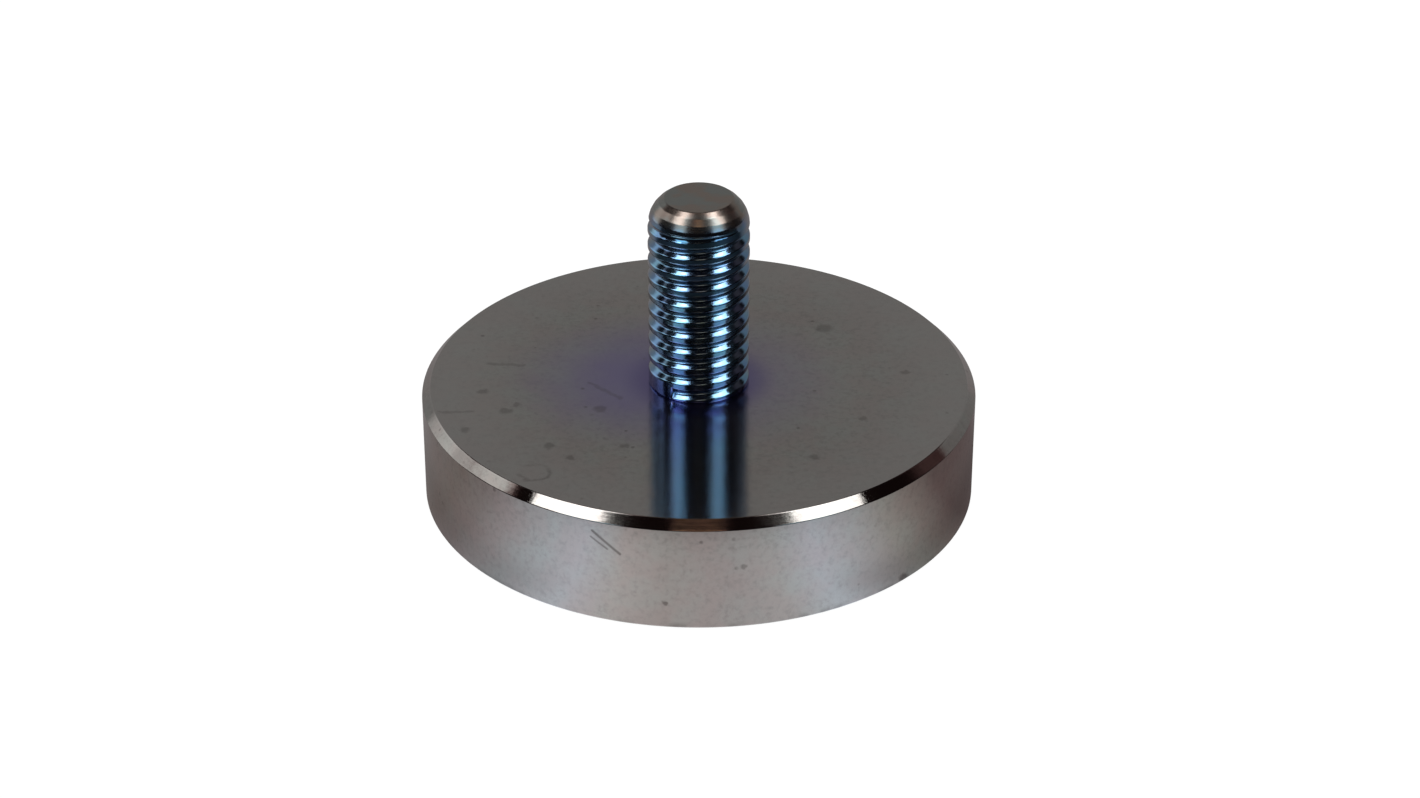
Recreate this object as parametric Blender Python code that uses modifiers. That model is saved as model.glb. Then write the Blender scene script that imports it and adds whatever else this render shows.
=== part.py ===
"""Pot magnet with a threaded stud.

A steel cup holds a round magnet in its open underside, set in resin, and a
threaded stud is riveted into a hole through the middle of the cup's back.

Metres, +Z up. The origin is the centre of the magnetic face, where the magnet
stands, and the stud points along +Z.
"""

import math

import bmesh
import bpy

# Driving dimensions
POT_RADIUS = 0.0160
POT_HEIGHT = 0.0068
BACK_BEVEL = 0.0005
RIM_BEVEL = 0.00015
WALL_THICKNESS = 0.0022
FLOOR_THICKNESS = 0.0026
POCKET_FILLET = 0.0004

MAGNET_RECESS = 0.0001
MAGNET_RADIUS = 0.0125
MAGNET_EDGE = 0.0003
RING_RECESS = 0.00035
MENISCUS = 0.0001

STUD_TOP = 0.0185
THREAD_RADIUS = 0.0029
THREAD_ROOT_RADIUS = 0.00239
THREAD_PITCH = 0.0010
THREAD_FLANK_ANGLE = math.radians(30)
THREAD_ROOT_FLAT = 0.00016
TIP_FLAT_RADIUS = 0.00185
TIP_STEEP_RADIUS = 0.0026
TIP_STEEP_DEPTH = 0.00045
TIP_DEPTH = 0.0009
FOOT_LAND = 0.0005
SPOT_FACE_RADIUS = 0.0032
SPOT_FACE_DEPTH = 0.0001
SPIGOT_RADIUS = 0.0022
RIVET_SPREAD = 0.0005

# Clearance where one piece meets another
FIT_GAP = 0.0003

# Worked out from the driving dimensions
POCKET_RADIUS = POT_RADIUS - WALL_THICKNESS
POCKET_TOP = POT_HEIGHT - FLOOR_THICKNESS
HOLE_RADIUS = SPIGOT_RADIUS + FIT_GAP
SPOT_FACE = POT_HEIGHT - SPOT_FACE_DEPTH
SEAT = SPOT_FACE + FIT_GAP
THREAD_END = SEAT + FOOT_LAND

# Fineness of the round pieces
POT_STEPS = 96
STUD_STEPS = 40
FILLET_STEPS = 4
MERGE = 1e-7
GROOVE_OVERRUN = 0.00008
RUNOUT_TURN = 0.25


def clear_scene():
    for thing in list(bpy.data.objects):
        bpy.data.objects.remove(thing, do_unlink=True)


def new_collection(name):
    collection = bpy.data.collections.new(name)
    bpy.context.scene.collection.children.link(collection)
    return collection


def new_material(name, colour, roughness, metallic):
    material = bpy.data.materials.new(name)
    material.use_nodes = True
    shader = material.node_tree.nodes["Principled BSDF"]
    shader.inputs["Base Color"].default_value = (*colour, 1.0)
    shader.inputs["Roughness"].default_value = roughness
    shader.inputs["Metallic"].default_value = metallic
    return material


def profile_object(name, points, collection, closed):
    """Outline in the XZ plane, as (radius, height) points joined by edges."""
    edges = [(i, i + 1) for i in range(len(points) - 1)]
    if closed:
        edges.append((len(points) - 1, 0))
    mesh = bpy.data.meshes.new(name)
    mesh.from_pydata([(r, 0.0, z) for r, z in points], edges, [])
    thing = bpy.data.objects.new(name, mesh)
    collection.objects.link(thing)
    return thing


def add_screw(thing, steps, rise=0.0, turns=1):
    """Turns an outline about Z. A rise for each turn makes it a helix."""
    screw = thing.modifiers.new("Turn", "SCREW")
    screw.axis = "Z"
    screw.angle = math.tau
    screw.steps = steps
    screw.render_steps = steps
    screw.screw_offset = rise
    screw.iterations = turns
    screw.use_merge_vertices = True
    screw.merge_threshold = MERGE
    screw.use_smooth_shade = True


def arc(centre, radius, start, end, steps):
    """Points of an arc, in degrees, in the (radius, height) plane."""
    points = []
    for i in range(steps + 1):
        angle = math.radians(start + (end - start) * i / steps)
        points.append((centre[0] + radius * math.cos(angle), centre[1] + radius * math.sin(angle)))
    return points


def as_mesh(thing, name, collection):
    """Puts an outline's evaluated mesh, at the same place, where the outline was."""
    graph = bpy.context.evaluated_depsgraph_get()
    mesh = bpy.data.meshes.new_from_object(thing.evaluated_get(graph))
    place = thing.matrix_world.copy()
    bpy.data.objects.remove(thing, do_unlink=True)
    made = bpy.data.objects.new(name, mesh)
    made.matrix_world = place
    collection.objects.link(made)
    return made


def shade_round(thing, sharp_degrees=25):
    thing.data.shade_smooth()
    thing.data.set_sharp_from_angle(angle=math.radians(sharp_degrees))


def make_steel_pot(parts):
    """Cup turned from bar: bevelled back edge, countersunk hole, filleted pocket.

    A shallow spot face round the hole takes the stud's seat, so the flat back
    starts clear of the stud.
    """
    fillet = (POCKET_RADIUS - POCKET_FILLET, POCKET_TOP - POCKET_FILLET)
    outline = [
        (HOLE_RADIUS, SPOT_FACE),
        (SPOT_FACE_RADIUS, SPOT_FACE),
        (SPOT_FACE_RADIUS, POT_HEIGHT),
        (POT_RADIUS - BACK_BEVEL, POT_HEIGHT),
        (POT_RADIUS, POT_HEIGHT - BACK_BEVEL),
        (POT_RADIUS, RIM_BEVEL),
        (POT_RADIUS - RIM_BEVEL, 0.0),
        (POCKET_RADIUS + RIM_BEVEL, 0.0),
        (POCKET_RADIUS, RIM_BEVEL),
        *arc(fillet, POCKET_FILLET, 0, 90, FILLET_STEPS),
        (HOLE_RADIUS + RIVET_SPREAD, POCKET_TOP),
        (HOLE_RADIUS, POCKET_TOP + RIVET_SPREAD),
    ]
    pot = profile_object("steel_pot", outline, parts, closed=True)
    add_screw(pot, POT_STEPS)
    pot = as_mesh(pot, "steel_pot", parts)
    shade_round(pot)
    pot.data.materials.append(new_material("plated steel", (0.42, 0.41, 0.41), 0.24, 1.0))
    return pot


def make_stud_blank(parts):
    """The stud before threading: tip, shank, seat and riveted spigot."""
    outline = [
        (0.0, STUD_TOP),
        (TIP_FLAT_RADIUS, STUD_TOP),
        (TIP_STEEP_RADIUS, STUD_TOP - TIP_STEEP_DEPTH),
        (THREAD_RADIUS, STUD_TOP - TIP_DEPTH),
        (THREAD_RADIUS, SEAT),
        (SPIGOT_RADIUS, SEAT),
        (SPIGOT_RADIUS, POCKET_TOP + RIVET_SPREAD),
        (SPIGOT_RADIUS + RIVET_SPREAD, POCKET_TOP),
        (0.0, POCKET_TOP),
    ]
    blank = profile_object("threaded_stud", outline, parts, closed=False)
    add_screw(blank, STUD_STEPS)
    return as_mesh(blank, "threaded_stud", parts)


def make_thread_groove(cutters):
    """Helical groove of the thread's own section, lifted out of the metal at the foot."""
    mouth_radius = THREAD_RADIUS + GROOVE_OVERRUN
    root_half = THREAD_ROOT_FLAT / 2
    mouth_half = root_half + (mouth_radius - THREAD_ROOT_RADIUS) * math.tan(THREAD_FLANK_ANGLE)
    section = [
        (THREAD_ROOT_RADIUS, -root_half),
        (THREAD_ROOT_RADIUS, root_half),
        (mouth_radius, mouth_half),
        (mouth_radius, -mouth_half),
    ]
    turns = math.ceil((STUD_TOP - THREAD_END) / THREAD_PITCH) + 1
    groove = profile_object("thread_groove", section, cutters, closed=True)
    groove.location.z = THREAD_END + mouth_half
    add_screw(groove, STUD_STEPS, rise=THREAD_PITCH, turns=turns)
    groove = as_mesh(groove, "thread_groove", cutters)
    lift_runout(groove.data)
    close_ends(groove.data)
    groove.hide_render = True
    groove.display_type = "WIRE"
    return groove


def lift_runout(mesh):
    """Draws the groove's first stretch outwards, so that it fades into the land."""
    depth = THREAD_RADIUS - THREAD_ROOT_RADIUS
    for vertex in mesh.vertices:
        turned = (math.atan2(vertex.co.y, vertex.co.x) % math.tau) / math.tau
        in_first_turn = abs(vertex.co.z - turned * THREAD_PITCH) < THREAD_PITCH / 2
        if in_first_turn and turned < RUNOUT_TURN:
            radius = math.hypot(vertex.co.x, vertex.co.y)
            scale = 1 + depth * (1 - turned / RUNOUT_TURN) / radius
            vertex.co.x *= scale
            vertex.co.y *= scale


def close_ends(mesh):
    """Caps the open ends and turns every face outwards."""
    work = bmesh.new()
    work.from_mesh(mesh)
    bmesh.ops.holes_fill(work, edges=[e for e in work.edges if e.is_boundary], sides=0)
    bmesh.ops.recalc_face_normals(work, faces=work.faces)
    work.to_mesh(mesh)
    work.free()


def make_threaded_stud(parts, cutters):
    """The blank with its thread cut."""
    stud = make_stud_blank(parts)
    cut = stud.modifiers.new("Thread", "BOOLEAN")
    cut.operation = "DIFFERENCE"
    cut.solver = "EXACT"
    cut.object = make_thread_groove(cutters)
    shade_round(stud)
    stud.data.materials.append(new_material("blue zinc", (0.45, 0.52, 0.60), 0.22, 1.0))
    return stud


def make_magnet_disc(parts):
    """Plated disc with rounded edges, its face just inside the rim."""
    height = POCKET_TOP - FIT_GAP - MAGNET_RECESS
    bpy.ops.mesh.primitive_cylinder_add(
        vertices=POT_STEPS,
        radius=MAGNET_RADIUS,
        depth=height,
        location=(0.0, 0.0, MAGNET_RECESS + height / 2),
    )
    magnet = bpy.context.object
    magnet.name = "magnet_disc"
    for collection in list(magnet.users_collection):
        collection.objects.unlink(magnet)
    parts.objects.link(magnet)
    edge = magnet.modifiers.new("Edge", "BEVEL")
    edge.width = MAGNET_EDGE
    edge.segments = 2
    edge.limit_method = "ANGLE"
    edge.angle_limit = math.radians(60)
    shade_round(magnet)
    magnet.data.materials.append(new_material("nickel", (0.62, 0.60, 0.57), 0.18, 1.0))
    return magnet


def make_potting_ring(parts):
    """Resin ring between magnet and wall, its open face slightly hollow."""
    outer = POCKET_RADIUS - FIT_GAP
    inner = MAGNET_RADIUS + FIT_GAP
    middle = (outer + inner) / 2
    top = POCKET_TOP - FIT_GAP
    corner = (outer - POCKET_FILLET, top - POCKET_FILLET)
    outline = [
        *reversed(arc(corner, POCKET_FILLET, 0, 90, FILLET_STEPS)),
        (outer, RING_RECESS),
        (middle, RING_RECESS + MENISCUS),
        (inner, RING_RECESS),
        (inner, top),
    ]
    ring = profile_object("potting_ring", outline, parts, closed=True)
    add_screw(ring, POT_STEPS)
    ring = as_mesh(ring, "potting_ring", parts)
    shade_round(ring)
    ring.data.materials.append(new_material("dark resin", (0.03, 0.03, 0.035), 0.4, 0.0))
    return ring


def main():
    clear_scene()
    parts = new_collection("pot_magnet")
    cutters = new_collection("cutters")
    make_steel_pot(parts)
    make_threaded_stud(parts, cutters)
    make_magnet_disc(parts)
    make_potting_ring(parts)


main()
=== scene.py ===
"""Looks of a pot magnet with a threaded stud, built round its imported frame.

Metres, +Z up, with the origin in the middle of the magnetic face. Each finish is
worked out in millimetres from the place of a point on its piece.
"""

import math

import bpy
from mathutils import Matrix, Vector


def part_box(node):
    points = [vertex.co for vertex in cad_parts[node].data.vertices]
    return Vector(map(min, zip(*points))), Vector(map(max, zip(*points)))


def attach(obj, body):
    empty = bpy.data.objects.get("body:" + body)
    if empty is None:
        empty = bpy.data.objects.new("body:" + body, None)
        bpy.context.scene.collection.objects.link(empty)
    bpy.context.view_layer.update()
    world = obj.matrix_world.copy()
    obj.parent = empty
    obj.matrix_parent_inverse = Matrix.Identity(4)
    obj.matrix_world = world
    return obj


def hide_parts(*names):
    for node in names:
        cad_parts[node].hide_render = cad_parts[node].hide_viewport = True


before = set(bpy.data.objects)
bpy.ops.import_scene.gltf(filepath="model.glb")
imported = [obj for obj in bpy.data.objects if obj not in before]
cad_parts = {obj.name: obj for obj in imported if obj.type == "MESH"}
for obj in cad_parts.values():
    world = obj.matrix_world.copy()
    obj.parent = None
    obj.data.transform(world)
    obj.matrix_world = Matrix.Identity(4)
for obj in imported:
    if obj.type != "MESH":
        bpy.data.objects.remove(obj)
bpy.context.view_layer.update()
MM = 0.001

# ---------------------------------------------------------------- sizes, from the frame
_, pot_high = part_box("steel_pot")
stud_low, stud_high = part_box("threaded_stud")
magnet_low, magnet_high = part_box("magnet_disc")
ring_low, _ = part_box("potting_ring")

POT_RADIUS = pot_high.x
POT_HEIGHT = pot_high.z
STUD_TOP = stud_high.z
STUD_RADIUS = stud_high.x
MAGNET_RADIUS = magnet_high.x
MAGNET_FACE = magnet_low.z
RESIN_LIP = ring_low.z
RIVET_FACE = stud_low.z

# The pot. The hole closes the gap that the frame's pieces keep.
BACK_BEVEL = 0.50 * MM
RIM_BEVEL = 0.15 * MM
EDGE_ROUND = 0.06 * MM
POCKET_RADIUS = POT_RADIUS - 2.2 * MM
POCKET_TOP = RIVET_FACE
HOLE_RADIUS = 2.25 * MM

# The magnet and the resin round it
MAGNET_ROUND = 0.3 * MM
RESIN_TUCK = 0.05 * MM
RESIN_HOLLOW_RADIUS = 0.6 * MM
RESIN_HOLLOW_DROP = 0.5 * MM

# The stud and its thread
THREAD_PITCH = 1.0 * MM
THREAD_ROOT_RADIUS = 2.56 * MM
THREAD_FOOT = POT_HEIGHT + 0.45 * MM
THREAD_START = math.radians(-90 - 33)
THREAD_FIRST_CUT = 0.004  # of a turn
FLANK_ANGLE = math.radians(40)
ROOT_HALF = 0.05 * MM
CREST_EASE = 0.06 * MM
ROOT_EASE = 0.08 * MM
THREAD_TOP = STUD_TOP - 0.9 * MM
THREAD_FADE = 0.8 * MM
TIP = [  # radius, depth below the top and rounding of each corner, in millimetres
    (1.95, 0.00, 0.12),
    (2.27, 0.24, 0.40),
    (2.57, 0.58, 0.30),
    (2.75, 0.92, 0.40),
    (2.86, 1.30, 0.50),
]
TAPER_END = 1.7 * MM
TAPER_ROUND = 1.0 * MM
FOOT_ROUND = 0.14 * MM

# Fineness of the pieces
POT_STEPS = 288
STUD_STEPS = 160
HIDDEN_STEPS = 192
THREAD_RING_STEP = 0.03 * MM
GUARD = 0.02 * MM
MERGE = 1e-8
SLOPE_STEP = 1e-5

# The same heights and radii in millimetres, for the finishes
BACK = POT_HEIGHT / MM
SIDE = POT_RADIUS / MM
TOP = STUD_TOP / MM
ROOT = THREAD_ROOT_RADIUS / MM


# ---------------------------------------------------------------- node arithmetic
class Value:
    """A socket in a material's nodes, with arithmetic on it."""

    def __init__(self, shop, socket):
        self.shop = shop
        self.socket = socket

    def __add__(self, other):
        return self.shop.maths("ADD", self, other)

    __radd__ = __add__

    def __sub__(self, other):
        return self.shop.maths("SUBTRACT", self, other)

    def __rsub__(self, other):
        return self.shop.maths("SUBTRACT", other, self)

    def __mul__(self, other):
        return self.shop.maths("MULTIPLY", self, other)

    __rmul__ = __mul__

    def __truediv__(self, other):
        return self.shop.maths("DIVIDE", self, other)

    def __rtruediv__(self, other):
        return self.shop.maths("DIVIDE", other, self)

    def __neg__(self):
        return self.shop.maths("MULTIPLY", self, -1.0)

    def __abs__(self):
        return self.shop.maths("ABSOLUTE", self)

    def clamped(self):
        return self.shop.maths("ADD", self, 0.0, clamp=True)

    def step(self, low, high):
        """0 below low and 1 above high, eased between them. high may be the lower."""
        return self.shop.node(
            "ShaderNodeMapRange",
            {"interpolation_type": "SMOOTHSTEP"},
            {"Value": self, "From Min": low, "From Max": high},
        )


class Shop:
    """A node tree that takes nodes one at a time."""

    def __init__(self, tree):
        self.tree = tree

    def node(self, kind, settings=None, values=None, out=0):
        """Adds a node: settings first, then a value or a link for each socket."""
        made = self.tree.nodes.new(kind)
        for key, setting in (settings or {}).items():
            if key == "stops":
                self.set_stops(made.color_ramp, setting)
            else:
                setattr(made, key, setting)
        for key, value in (values or {}).items():
            self.feed(made.inputs[key], value)
        return Value(self, made.outputs[out])

    @staticmethod
    def set_stops(ramp, stops):
        while len(ramp.elements) < len(stops):
            ramp.elements.new(0.5)
        for element, (place, colour) in zip(ramp.elements, stops):
            element.position = place
            element.color = (*colour, 1.0)

    def feed(self, socket, value):
        if isinstance(value, Value):
            self.tree.links.new(value.socket, socket)
        elif isinstance(value, (tuple, list)) and socket.type == "RGBA":
            socket.default_value = (*value, 1.0)
        else:
            socket.default_value = value

    def maths(self, operation, *terms, clamp=False):
        settings = {"operation": operation, "use_clamp": clamp}
        return self.node("ShaderNodeMath", settings, dict(enumerate(terms)))

    def vector(self, operation, *terms, out="Vector", **named):
        """Vector maths on terms given in the order of the node's sockets, or by name."""
        values = {**dict(enumerate(terms)), **named}
        return self.node("ShaderNodeVectorMath", {"operation": operation}, values, out=out)

    def length(self, vector):
        return self.vector("LENGTH", vector, out="Value")

    def from_point(self, place, point):
        """The way to a place from a fixed point."""
        return self.vector("ADD", place, tuple(-measure for measure in point))

    def split(self, vector):
        parts = self.node("ShaderNodeSeparateXYZ", values={0: vector}).socket.node
        return [Value(self, socket) for socket in parts.outputs]

    def join(self, x, y, z):
        return self.node("ShaderNodeCombineXYZ", values={0: x, 1: y, 2: z})

    def noise(self, place, scale, detail=2.0, rough=0.5, out=0):
        values = {"Vector": place, "Scale": scale, "Detail": detail, "Roughness": rough}
        return self.node("ShaderNodeTexNoise", values=values, out=out)

    def cells(self, place, scale):
        """How far a place is from the nearest of many scattered points."""
        values = {"Vector": place, "Scale": scale}
        return self.node("ShaderNodeTexVoronoi", values=values, out="Distance")

    def mix(self, share, first, second):
        """Colour blend: first where share is 0, second where it is 1."""
        made = self.tree.nodes.new("ShaderNodeMix")
        made.data_type = "RGBA"
        self.feed(made.inputs["Factor"], share)
        self.feed(made.inputs[6], first)
        self.feed(made.inputs[7], second)
        return Value(self, made.outputs[2])

    def bump(self, height, strength, distance):
        values = {"Height": height, "Strength": strength, "Distance": distance}
        return self.node("ShaderNodeBump", values=values, out="Normal")


class Finish(Shop):
    """One material: its node tree, and the shader that ends it."""

    def __init__(self, name):
        self.material = bpy.data.materials.new(name)
        self.material.use_nodes = True
        super().__init__(self.material.node_tree)
        self.shader = self.tree.nodes["Principled BSDF"]

    def set(self, **sockets):
        """Feeds the shader: base_color=..., roughness=... and so on."""
        for key, value in sockets.items():
            self.feed(self.shader.inputs[key.replace("_", " ").title()], value)

    def place(self):
        """Where a point is on the piece, in millimetres."""
        spot = self.node("ShaderNodeTexCoord", out="Object")
        return self.vector("SCALE", spot, Scale=1 / MM)


# ---------------------------------------------------------------- marks on the pot
# Stains on the back: place across and along it, and radius.
BACK_STAINS = [
    (-5.6, -3.5, 0.42), (-11.0, -3.7, 0.40), (-13.2, -5.8, 0.34), (-10.4, -3.0, 0.26),
    (-8.4, -7.6, 0.36), (-7.2, -8.9, 0.30), (-12.4, -1.4, 0.34), (-4.2, -7.6, 0.30),
    (6.5, -8.9, 0.36), (12.0, 0.9, 0.30), (7.4, 6.2, 0.55), (9.3, -4.6, 0.28),
]
# Stains on the side: place, radius and strength.
SIDE_STAINS = [
    ((-1.85, -15.9, 1.65), 0.24, 0.6),
    ((11.5, -11.2, 0.2), 0.55, 0.7),
    ((2.5, -15.8, 4.0), 0.26, 0.4),
]
# Scratches: start, end, width and strength.
SIDE_SCRATCHES = [
    ((-5.8, -14.9, 5.7), (-4.3, -15.4, 4.5), 0.12, 0.6),
    ((-5.9, -14.9, 5.3), (-5.0, -15.2, 4.7), 0.09, 0.5),
]
BACK_SCRATCHES = [
    ((-6.3, -0.4, BACK), (-4.5, -2.2, BACK), 0.22, 0.26),
    ((-12.3, 1.9, BACK), (-10.2, 1.7, BACK), 0.22, 0.26),
    ((-14.8, -3.8, BACK), (-12.9, -3.8, BACK), 0.20, 0.24),
]
RING_MARK = (-9.1, -10.6, BACK)
RING_MARK_RADIUS = 0.85


def speck(f, place, centre, radius):
    """1 on a small round mark, 0 away from it."""
    return f.length(f.from_point(place, centre)).step(radius, 0.4 * radius)


def scratch(f, place, start, end, width):
    """1 along a thin straight mark from start to end, 0 away from it."""
    run = Vector(end) - Vector(start)
    from_start = f.from_point(place, start)
    share = f.vector("DOT_PRODUCT", from_start, tuple(run / run.length_squared), out="Value")
    foot = f.vector("SCALE", tuple(run), Scale=share.clamped())
    away = f.length(f.vector("SUBTRACT", from_start, foot))
    return away.step(width, 0.3 * width)


def pot_dirt(f, place, z, radius):
    """How dirty the pot is: stains, scratches, a ring mark, specks, and patchy darkening along the
    bottom of the side.
    """
    wander = f.noise(place, 2.2, out="Color")
    nudged = f.vector("ADD", place, (-0.27, -0.27, -0.27))
    shaky = f.vector("MULTIPLY_ADD", wander, (0.55, 0.55, 0.55), nudged)

    dirt = 0.0
    for across, along, size in BACK_STAINS:
        dirt = dirt + 0.34 * speck(f, shaky, (across, along, BACK), 1.25 * size)
    for centre, size, strength in SIDE_STAINS:
        dirt = dirt + strength * speck(f, shaky, centre, size)
    for start, end, width, strength in SIDE_SCRATCHES:
        dirt = dirt + strength * scratch(f, place, start, end, width)
    for start, end, width, strength in BACK_SCRATCHES:
        dirt = dirt + strength * scratch(f, shaky, start, end, width)

    off_ring = abs(f.length(f.from_point(shaky, RING_MARK)) - RING_MARK_RADIUS)
    dirt = dirt + 0.3 * off_ring.step(0.22, 0.05) * f.noise(place, 1.1).step(0.35, 0.6)
    specks = f.cells(place, 0.8).step(0.13, 0.06)
    dirt = dirt + 0.4 * specks * f.noise(place, 0.3).step(0.45, 0.6)
    # Patchy darkening along the bottom 0.55 mm of the side.
    at_rim = z.step(0.55, 0.0) * radius.step(SIDE - 0.6, SIDE - 0.1)
    return (dirt + 0.5 * at_rim * f.noise(place, 0.9).step(0.45, 0.7)).clamped()


# ---------------------------------------------------------------- finishes
ZINC_WARM = (0.435, 0.395, 0.372)
ZINC_COOL = (0.425, 0.422, 0.395)
ZINC_DULL = (0.335, 0.315, 0.300)
OUTER_PAINTED_LIGHT = (0.500, 0.475, 0.455)
VIOLET_PAINTED_REFLECTION = (0.290, 0.255, 0.450)
NAVY_PAINTED_SHADE = (0.160, 0.130, 0.330)
DIRT_BROWN = (0.100, 0.082, 0.075)

BLUE = (0.22, 0.39, 0.66)
TEAL = (0.23, 0.45, 0.62)
EDGE_GREY = (0.36, 0.37, 0.41)
ROOT_SHADE_NAVY = (0.03, 0.05, 0.12)
WORN_WARM = (0.37, 0.31, 0.27)
WORN_COOL = (0.33, 0.34, 0.32)

NICKEL_LIGHT = (0.64, 0.61, 0.56)
NICKEL_DARK = (0.58, 0.56, 0.53)
NICKEL_RUBBED = (0.42, 0.40, 0.38)

RESIN_BLACK = (0.016, 0.016, 0.018)
RESIN_DUST = (0.075, 0.072, 0.068)
PINHOLE_BLACK = (0.004, 0.004, 0.004)


def plated_steel():
    """Bright zinc on turned steel: turning lines, cloudy colour, painted light towards the back's
    outer edge, painted reflection and shade round the stud, dirt.
    """
    f = Finish("plated_steel")
    place = f.place()
    x, y, z = f.split(place)
    radius = f.length(f.join(x, y, 0.0))
    on_back = z.step(BACK - 0.10, BACK - 0.02)

    cloud = f.noise(place, 0.45, 3.0, 0.6)
    grain = f.noise(place, 3.0, 4.0, 0.65)
    colour = f.mix(cloud.step(0.35, 0.68), ZINC_WARM, ZINC_COOL)
    colour = f.mix(0.8 * grain.step(0.42, 0.80), colour, ZINC_DULL)
    # Painted light: the back is made paler towards its outer edge.
    colour = f.mix(0.5 * radius.step(9.5, 15.0) * on_back, colour, OUTER_PAINTED_LIGHT)

    # Painted reflection: a violet tint round the stud, drawn out to the left, stands for the
    # stud's blue reflection in the back.
    left = x.step(2.0, -5.0)
    drawn_out = f.length(f.join(x * (1.0 - 0.22 * left), y, 0.0)) + 2.2 * (cloud - 0.5)
    violet_reflection = drawn_out.step(9.5, 2.6) * on_back
    colour = f.mix(violet_reflection * (0.45 + 0.5 * left), colour, VIOLET_PAINTED_REFLECTION)
    # Painted shade: darker navy close round the stud's foot.
    colour = f.mix(0.7 * radius.step(4.8, 2.8) * on_back, colour, NAVY_PAINTED_SHADE)

    dirt = pot_dirt(f, place, z, radius)
    colour = f.mix(dirt, colour, DIRT_BROWN)

    bevel = z.step(BACK - 0.58, BACK - 0.46) * z.step(BACK, BACK - 0.06)
    roughness = 0.125 - 0.06 * bevel + 0.05 * grain + 0.10 * dirt
    lines = f.noise(f.join(radius * 14.0, z * 14.0, 0.0), 1.0, 2.0, 0.6)
    ripple = 0.6 * f.noise(place, 1.4, 2.0) + 0.25 * grain + 0.25 * lines
    f.set(base_color=colour, roughness=roughness, metallic=1.0)
    f.set(anisotropic=0.9, anisotropic_rotation=0.25)
    f.set(normal=f.bump(ripple, 0.18, 0.03 * MM))
    return f.material


def blue_zinc():
    """Blue zinc: greyer where it turns away, painted shade in the thread roots, worn at the tip.
    """
    f = Finish("blue_zinc")
    place = f.place()
    x, y, z = f.split(place)
    radius = f.length(f.join(x, y, 0.0))
    glancing = f.node("ShaderNodeLayerWeight", values={"Blend": 0.5}, out="Facing")

    shift = f.noise(place, 0.9, 3.0, 0.6)
    colour = f.mix(shift.step(0.35, 0.65), BLUE, TEAL)
    colour = f.mix(0.9 * glancing.step(0.42, 0.72), colour, EDGE_GREY)
    # Painted shade: the thread roots are darkened towards navy, and made rougher.
    shaded_root = radius.step(ROOT + 0.10, ROOT + 0.01) * z.step(TOP - 1.1, TOP - 1.5)
    colour = f.mix(0.25 * shaded_root, colour, ROOT_SHADE_NAVY)

    worn = (z + 0.5 * shift).step(TOP - 0.95, TOP - 0.40)
    bare = f.mix(f.noise(place, 0.8).step(0.4, 0.6), WORN_WARM, WORN_COOL)
    colour = f.mix(worn, colour, bare)

    grain = f.noise(place, 5.0, 3.0, 0.6)
    roughness = 0.09 + 0.05 * grain + 0.10 * shaded_root + 0.13 * worn
    f.set(base_color=colour, roughness=roughness, metallic=1.0)
    f.set(normal=f.bump(grain, 0.10, 0.02 * MM))
    return f.material


def nickel():
    """Nickel plate with fine grinding lines across it and a few rubbed marks."""
    f = Finish("nickel")
    place = f.place()
    x, y, z = f.split(place)
    cloud = f.noise(place, 0.35, 3.0, 0.6)
    lines = f.noise(f.join(x * 0.25, y * 9.0, z), 1.0, 3.0, 0.7)
    rubs = f.noise(f.join(x * 1.5 + y, y * 0.2 - x * 0.1, z), 1.6, 2.0, 0.7).step(0.66, 0.72)
    colour = f.mix(cloud.step(0.3, 0.7), NICKEL_LIGHT, NICKEL_DARK)
    colour = f.mix(0.5 * rubs, colour, NICKEL_RUBBED)
    f.set(base_color=colour, roughness=0.16 + 0.12 * lines + 0.12 * rubs, metallic=1.0)
    f.set(normal=f.bump(lines, 0.15, 0.02 * MM))
    return f.material


def dark_resin():
    """Black casting resin, slightly rippled, with a little dust and a few pinholes."""
    f = Finish("dark_resin")
    place = f.place()
    ripple = f.noise(place, 0.6, 3.0, 0.5)
    dust = f.noise(place, 6.0, 4.0, 0.7).step(0.56, 0.75)
    pinhole = f.cells(place, 0.7).step(0.10, 0.05)
    colour = f.mix(0.5 * dust, RESIN_BLACK, RESIN_DUST)
    colour = f.mix(pinhole, colour, PINHOLE_BLACK)
    f.set(base_color=colour, roughness=0.28 + 0.35 * dust, metallic=0.0)
    f.set(normal=f.bump(ripple - 0.6 * pinhole, 0.5, 0.08 * MM))
    return f.material


# ---------------------------------------------------------------- shapes
def arc(centre, radius, start, end, steps):
    """Points of an arc, in degrees, as (radius, height)."""
    points = []
    for i in range(steps + 1):
        angle = math.radians(start + (end - start) * i / steps)
        points.append((centre[0] + radius * math.cos(angle), centre[1] + radius * math.sin(angle)))
    return points


def rounded(points, radius, steps=4, closed=False):
    """The outline with each corner rounded, and a ring close by each curve.

    radius is one number, or one for each corner. The extra rings keep the flats
    flat in the shading. An open outline keeps its two ends as they are.
    """
    if closed:
        corners = list(zip([points[-1]] + points[:-1], points, points[1:] + [points[0]]))
    else:
        corners = list(zip(points, points[1:], points[2:]))
    radii = radius if isinstance(radius, list) else [radius] * len(corners)
    made = [] if closed else [points[0]]
    for (before, corner, after), bend in zip(corners, radii):
        corner = Vector(corner)
        back = Vector(before) - corner
        on = Vector(after) - corner
        turn = math.pi - back.angle(on)
        cut = min(bend * math.tan(turn / 2), 0.4 * back.length, 0.4 * on.length)
        start = corner + back.normalized() * cut
        end = corner + on.normalized() * cut
        made.append(tuple(start + back.normalized() * GUARD))
        for i in range(steps + 1):
            t = i / steps
            made.append(tuple(start * (1 - t) ** 2 + corner * 2 * t * (1 - t) + end * t**2))
        made.append(tuple(end + on.normalized() * GUARD))
    return made if closed else made + [points[-1]]


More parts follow.
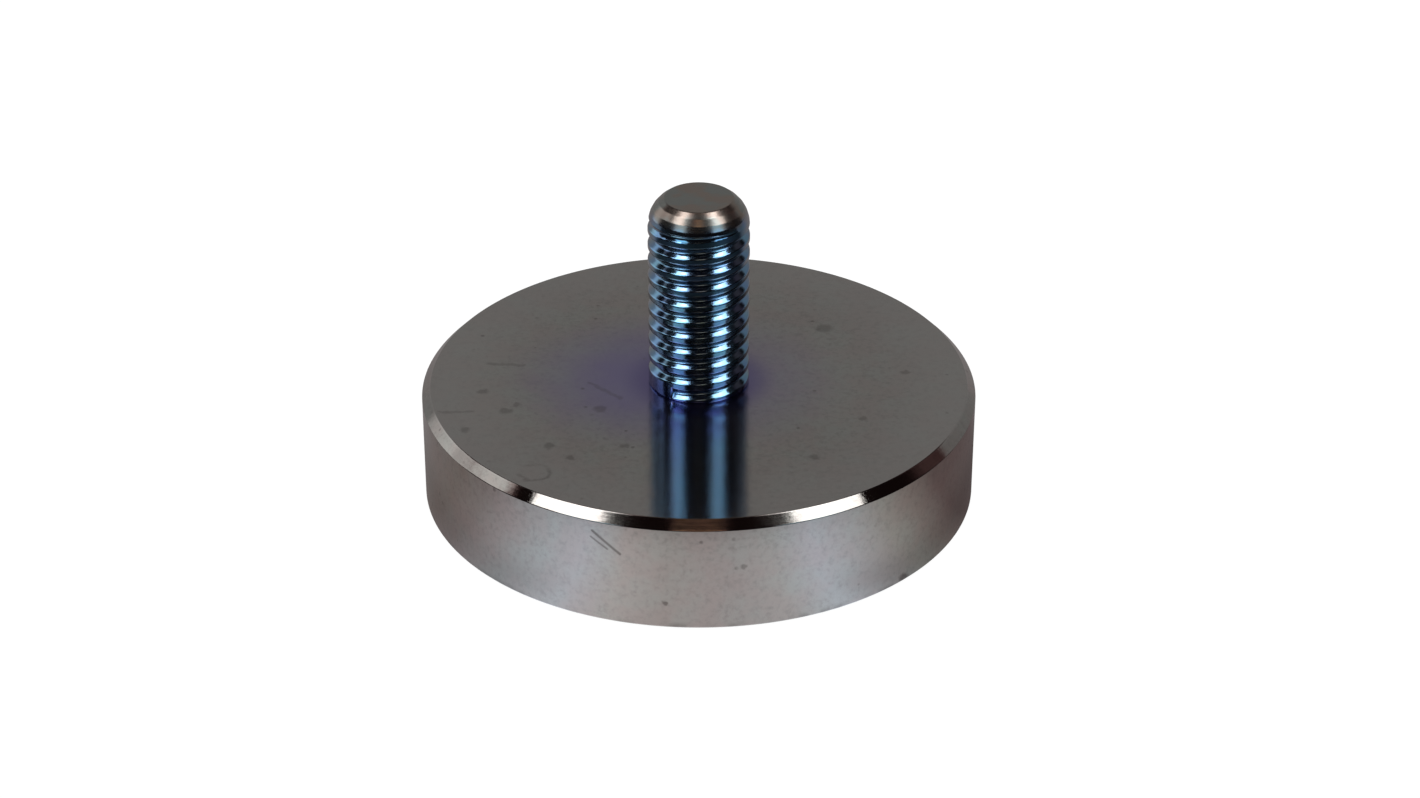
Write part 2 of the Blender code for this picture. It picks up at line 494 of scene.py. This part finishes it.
def turned(name, outline, steps, closed):
    """A piece turned from an outline of (radius, height), outer side top to bottom."""
    mesh = bpy.data.meshes.new(name)
    edges = [(i, i + 1) for i in range(len(outline) - 1)]
    if closed:
        edges.append((len(outline) - 1, 0))
    mesh.from_pydata([(r, 0.0, z) for r, z in outline], edges, [])
    piece = bpy.data.objects.new(name, mesh)
    bpy.context.scene.collection.objects.link(piece)
    screw = piece.modifiers.new("Turn", "SCREW")
    screw.steps = steps
    screw.render_steps = steps
    screw.use_merge_vertices = True
    screw.merge_threshold = MERGE
    screw.use_smooth_shade = True
    graph = bpy.context.evaluated_depsgraph_get()
    solid = bpy.data.meshes.new_from_object(piece.evaluated_get(graph))
    piece.modifiers.clear()
    piece.data = solid
    return piece


def settle(piece, node, material):
    """Gives a piece its finish and lets it stand for its CAD node."""
    piece.data.materials.clear()
    piece.data.materials.append(material)
    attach(piece, "root")
    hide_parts(node)
    return piece


def pot():
    """The steel cup, with its bevelled back edge and the stud's hole."""
    outline = [
        (HOLE_RADIUS, POT_HEIGHT),
        (POT_RADIUS - BACK_BEVEL, POT_HEIGHT),
        (POT_RADIUS, POT_HEIGHT - BACK_BEVEL),
        (POT_RADIUS, RIM_BEVEL),
        (POT_RADIUS - RIM_BEVEL, 0.0),
        (POCKET_RADIUS + RIM_BEVEL, 0.0),
        (POCKET_RADIUS, RIM_BEVEL),
        (POCKET_RADIUS, POCKET_TOP),
        (HOLE_RADIUS, POCKET_TOP),
    ]
    piece = turned("pot", rounded(outline, EDGE_ROUND, closed=True), POT_STEPS, closed=True)
    return settle(piece, "steel_pot", plated_steel())


def eased(x, reach):
    """x where it is above 0 and nothing below, rounded off within reach of 0."""
    if x < -reach:
        return 0.0
    if x > reach:
        return x
    return (x + reach) ** 2 / (4 * reach)


def thread_depth(angle, height):
    """How far the thread is cut in below its crests, at an angle and height on the stud."""
    turns = (angle - THREAD_START) % math.tau / math.tau
    rise = (height - THREAD_FOOT) / THREAD_PITCH - turns
    away = abs(rise - math.floor(rise + 0.5)) * THREAD_PITCH
    full = STUD_RADIUS - THREAD_ROOT_RADIUS
    wall = full + ROOT_HALF / math.tan(FLANK_ANGLE) - away / math.tan(FLANK_ANGLE)
    depth = full - eased(full - eased(wall, CREST_EASE), ROOT_EASE)
    started = rise > -0.5 and (rise > 0.5 or turns > THREAD_FIRST_CUT)
    fade = min(1.0, max(0.0, (THREAD_TOP - height) / THREAD_FADE))
    return depth * fade if started else 0.0


def thread_normal(angle, height, radius):
    """The threaded surface's own outward direction."""
    up = thread_depth(angle, height + SLOPE_STEP) - thread_depth(angle, height - SLOPE_STEP)
    on = thread_depth(angle + SLOPE_STEP, height) - thread_depth(angle - SLOPE_STEP, height)
    out = Vector((math.cos(angle), math.sin(angle), 0.0))
    side = Vector((-math.sin(angle), math.cos(angle), 0.0))
    normal = out + side * on / (2 * SLOPE_STEP * radius)
    normal.z = up / (2 * SLOPE_STEP)
    return normal.normalized()


def stud_outline():
    """The stud's outline before threading, with close rings where the thread goes."""
    corners = rounded(
        [
            (0.0, STUD_TOP),
            *[(radius * MM, STUD_TOP - depth * MM) for radius, depth, _ in TIP],
            (STUD_RADIUS, STUD_TOP - TAPER_END),
            (STUD_RADIUS, POT_HEIGHT),
            (HOLE_RADIUS, POT_HEIGHT),
            (HOLE_RADIUS, RIVET_FACE),
            (0.0, RIVET_FACE),
        ],
        [bend * MM for _, _, bend in TIP] + [TAPER_ROUND, FOOT_ROUND, EDGE_ROUND, EDGE_ROUND],
        steps=6,
    )
    outline = []
    for a, b in zip(corners, corners[1:]):
        falls = a[1] - b[1] > a[0] - b[0]
        threaded = falls and a[1] > POT_HEIGHT and a[0] > THREAD_ROOT_RADIUS
        count = max(1, math.ceil(math.dist(a, b) / THREAD_RING_STEP)) if threaded else 1
        outline += [
            (a[0] + (b[0] - a[0]) * i / count, a[1] + (b[1] - a[1]) * i / count)
            for i in range(count)
        ]
    return outline + [corners[-1]]


def stud():
    """The stud, turned and then drawn in along its thread."""
    piece = turned("stud", stud_outline(), STUD_STEPS, closed=False)
    mesh = piece.data
    normals = [vertex.normal.copy() for vertex in mesh.vertices]
    for vertex, normal in zip(mesh.vertices, normals):
        angle = math.atan2(vertex.co.y, vertex.co.x)
        radius = math.hypot(vertex.co.x, vertex.co.y)
        wanted = STUD_RADIUS - thread_depth(angle, vertex.co.z)
        if vertex.co.z > POT_HEIGHT and wanted < radius:
            vertex.co.x *= wanted / radius
            vertex.co.y *= wanted / radius
            normal[:] = thread_normal(angle, vertex.co.z, wanted)
    mesh.normals_split_custom_set_from_vertices(normals)
    return settle(piece, "threaded_stud", blue_zinc())


def magnet():
    """The magnet, up to the pocket's ceiling."""
    outline = [
        (0.0, POCKET_TOP),
        (MAGNET_RADIUS, POCKET_TOP),
        (MAGNET_RADIUS, MAGNET_FACE),
        (0.0, MAGNET_FACE),
    ]
    piece = turned("magnet", rounded(outline, MAGNET_ROUND, steps=6), HIDDEN_STEPS, closed=False)
    return settle(piece, "magnet_disc", nickel())


def resin():
    """The resin between magnet and pot, with a slight hollow round its face."""
    middle = (POCKET_RADIUS + MAGNET_RADIUS) / 2
    outline = [
        (POCKET_RADIUS, POCKET_TOP),
        (POCKET_RADIUS, RESIN_LIP - RESIN_TUCK),
        *arc((middle, RESIN_LIP - RESIN_HOLLOW_DROP), RESIN_HOLLOW_RADIUS, 60, 120, 8),
        (MAGNET_RADIUS, RESIN_LIP - RESIN_TUCK),
        (MAGNET_RADIUS, POCKET_TOP),
    ]
    piece = turned("resin", outline, HIDDEN_STEPS, closed=True)
    return settle(piece, "potting_ring", dark_resin())


# ---------------------------------------------------------------- studio
CAMERA_ELEVATION = math.radians(30.75)
CAMERA_DISTANCE = 208 * MM
CAMERA_LENS = 89.6
FLOOR_SIZE = 1.6
FLOOR_GLOW = 0.95

ROOM_DARK = (1.0, 0.55, 0.55)
ROOM_WHITE = (1.0, 1.0, 1.0)
PANEL_BLUE = (0.55, 0.84, 1.0)
OVERHEAD_WARM = (1.0, 0.88, 0.8)
LAMP_ORANGE = (1.0, 0.58, 0.32)

# How the paper glows round the pot: degrees from the front, + to the right, and colour.
PAPER_GLOW = [
    (-110, (0.24, 0.22, 0.22)), (-78, (0.26, 0.22, 0.21)), (-66, (0.36, 0.32, 0.33)),
    (-54, (0.58, 0.57, 0.62)), (-42, (0.75, 0.82, 0.92)), (-31, (0.89, 0.95, 1.09)),
    (-20, (0.83, 0.81, 0.83)), (-8, (0.69, 0.66, 0.67)), (8, (0.68, 0.66, 0.69)),
    (20, (0.75, 0.77, 0.81)), (31, (0.87, 0.94, 1.09)), (42, (0.74, 0.78, 0.86)),
    (54, (0.54, 0.54, 0.53)), (65, (0.36, 0.31, 0.30)), (77, (0.18, 0.13, 0.13)),
    (105, (0.14, 0.11, 0.11)), (130, (0.24, 0.22, 0.22)),
]


def heading(azimuth, elevation):
    """A direction, in degrees. Azimuth 0 is the camera's side, and + is to its right."""
    a, e = math.radians(azimuth), math.radians(elevation)
    return Vector((math.sin(a) * math.cos(e), -math.cos(a) * math.cos(e), math.sin(e)))


def camera():
    """The view: a long lens, well above the bench."""
    view = bpy.data.cameras.new("camera")
    view.sensor_width = 36.0
    view.lens = CAMERA_LENS
    view.clip_start = 0.01
    view.clip_end = 20.0
    view.shift_x = 0.0079
    view.shift_y = 0.0573
    eye = bpy.data.objects.new("camera", view)
    bpy.context.scene.collection.objects.link(eye)
    back = Vector((0.0, -math.cos(CAMERA_ELEVATION), math.sin(CAMERA_ELEVATION)))
    eye.location = back * CAMERA_DISTANCE
    eye.rotation_mode = "QUATERNION"
    eye.rotation_quaternion = (-back).to_track_quat("-Z", "Y")
    bpy.context.scene.camera = eye


def softbox(name, azimuth, elevation, distance, size, power):
    """An area light that looks at the pot."""
    light = bpy.data.lights.new(name, "AREA")
    light.shape = "RECTANGLE"
    light.size, light.size_y = size
    light.energy = power
    lamp = bpy.data.objects.new(name, light)
    bpy.context.scene.collection.objects.link(lamp)
    away = heading(azimuth, elevation)
    lamp.location = away * distance
    lamp.rotation_mode = "QUATERNION"
    lamp.rotation_quaternion = away.to_track_quat("Z", "Y")


def room():
    """Dim room: a wall behind, pale cards at the left, and a panel on each side in front.

    Two bright ceiling cards, a faint overhead, a small warm lamp in front and a
    faint rusty strip at the right rear make up the rest.
    """
    world = bpy.data.worlds.new("room")
    bpy.context.scene.world = world
    world.use_nodes = True
    w = Shop(world.node_tree)
    way = w.node("ShaderNodeTexCoord", out="Generated")

    def card(azimuth, elevation, half_width, half_height, soft):
        """A flat card faced square on: how much of it a direction sees, and where across it."""
        centre = heading(azimuth, elevation)
        across = Vector((-centre.y, centre.x, 0.0)).normalized()
        up = centre.cross(across)
        ahead, sideways, upwards = (
            w.vector("DOT_PRODUCT", way, tuple(axis), out="Value") for axis in (centre, across, up)
        )
        safe = w.maths("MAXIMUM", ahead, 0.02)
        sideways = sideways / safe
        wide, tall = math.tan(math.radians(half_width)), math.tan(math.radians(half_height))
        seen = abs(sideways).step(wide + soft, wide - soft)
        seen = seen * abs(upwards / safe).step(tall + soft, tall - soft)
        return seen * ahead.step(0.0, 0.05), sideways / wide

    wall, along = card(180, 8, 63, 33, 0.10)
    pale, across = card(-120, 8, 14.5, 21, 0.05)
    pale_end, _ = card(-100, 35, 7.5, 6.5, 0.03)
    lamp, _ = card(0, 50, 8, 5, 0.04)
    left_ceiling, _ = card(-80, 68, 8, 7, 0.04)
    right_ceiling, _ = card(83, 68, 8, 7, 0.04)
    left_panel, _ = card(-47, 31, 12, 11, 0.04)
    right_panel, _ = card(49, 31, 13, 11, 0.04)
    overhead, _ = card(180, 86, 12, 10, 0.08)
    rusty, _ = card(111, 28, 6, 18, 0.06)
    ceiling = left_ceiling + right_ceiling
    panels = left_panel + right_panel

    level = 0.008 + wall * (0.25 + 0.05 * along) + pale * (0.57 + 0.29 * across)
    level = level + 0.95 * pale_end + 2.7 * ceiling + 1.5 * panels
    level = level + 1.0 * lamp + 0.18 * overhead + 0.07 * rusty

    colour = w.mix((wall + pale + pale_end + ceiling).clamped(), ROOM_DARK, ROOM_WHITE)
    colour = w.mix(panels, colour, PANEL_BLUE)
    colour = w.mix(overhead, colour, OVERHEAD_WARM)
    colour = w.mix(lamp, colour, LAMP_ORANGE)
    background = w.tree.nodes["Background"]
    lit = w.vector("MULTIPLY", colour, w.join(level, level, level))
    w.feed(background.inputs["Color"], lit)
    w.feed(background.inputs["Strength"], 1.0)


def floor():
    """Pale paper on the bench, even to the camera.

    The pieces see it glow in a ring round the pot and behind it, with a painted
    shadow next to the pot's foot.
    """
    bpy.ops.mesh.primitive_plane_add(size=FLOOR_SIZE, location=(0, 0, 0))
    sheet = bpy.context.object
    sheet.name = "floor"
    f = Finish("floor_paper")
    place = f.place()
    x, y, _ = f.split(place)
    way_round = f.maths("ARCTAN2", x, -y) / math.tau + 0.5
    ramp = {"stops": [(0.5 + angle / 360, colour) for angle, colour in PAPER_GLOW]}
    paper = f.node("ShaderNodeValToRGB", ramp, {"Fac": way_round})

    away = f.length(place)
    # Painted shadow: the glow is dimmed next to the pot's foot.
    painted_foot_shadow = 0.30 * x.step(-8.0, -13.0) + 0.42 * x.step(8.0, 13.0)
    ring = away.step(28.2, 26.6) * (1.0 - painted_foot_shadow * away.step(20.5, 16.5))
    share = f.maths("MAXIMUM", ring, y.step(6.0, 16.0))
    f.set(base_color=(0.02, 0.02, 0.02), roughness=0.5, metallic=0.0)
    f.set(emission_color=f.mix(share, (0.0, 0.0, 0.0), paper), emission_strength=FLOOR_GLOW)
    glowing = Value(f, f.shader.outputs[0])

    even = f.node("ShaderNodeEmission", values={"Color": ROOM_WHITE, "Strength": FLOOR_GLOW})
    shaded = f.node("ShaderNodeBsdfDiffuse", values={"Color": (0.2, 0.2, 0.2)})
    shown = f.node("ShaderNodeAddShader", values={0: even, 1: shaded})
    seen = f.node("ShaderNodeLightPath", out="Is Camera Ray")
    whole = f.node("ShaderNodeMixShader", values={0: seen, 1: glowing, 2: shown})
    f.tree.links.new(whole.socket, f.tree.nodes["Material Output"].inputs["Surface"])
    sheet.data.materials.append(f.material)


def studio():
    bpy.context.scene.view_settings.view_transform = "Standard"
    room()
    floor()
    softbox("left_softbox", -65.5, 53.5, 0.6, (0.22, 0.265), 0.56)
    softbox("right_softbox", 65, 55, 0.6, (0.222, 0.29), 0.60)


pot()
stud()
magnet()
resin()
camera()
studio()
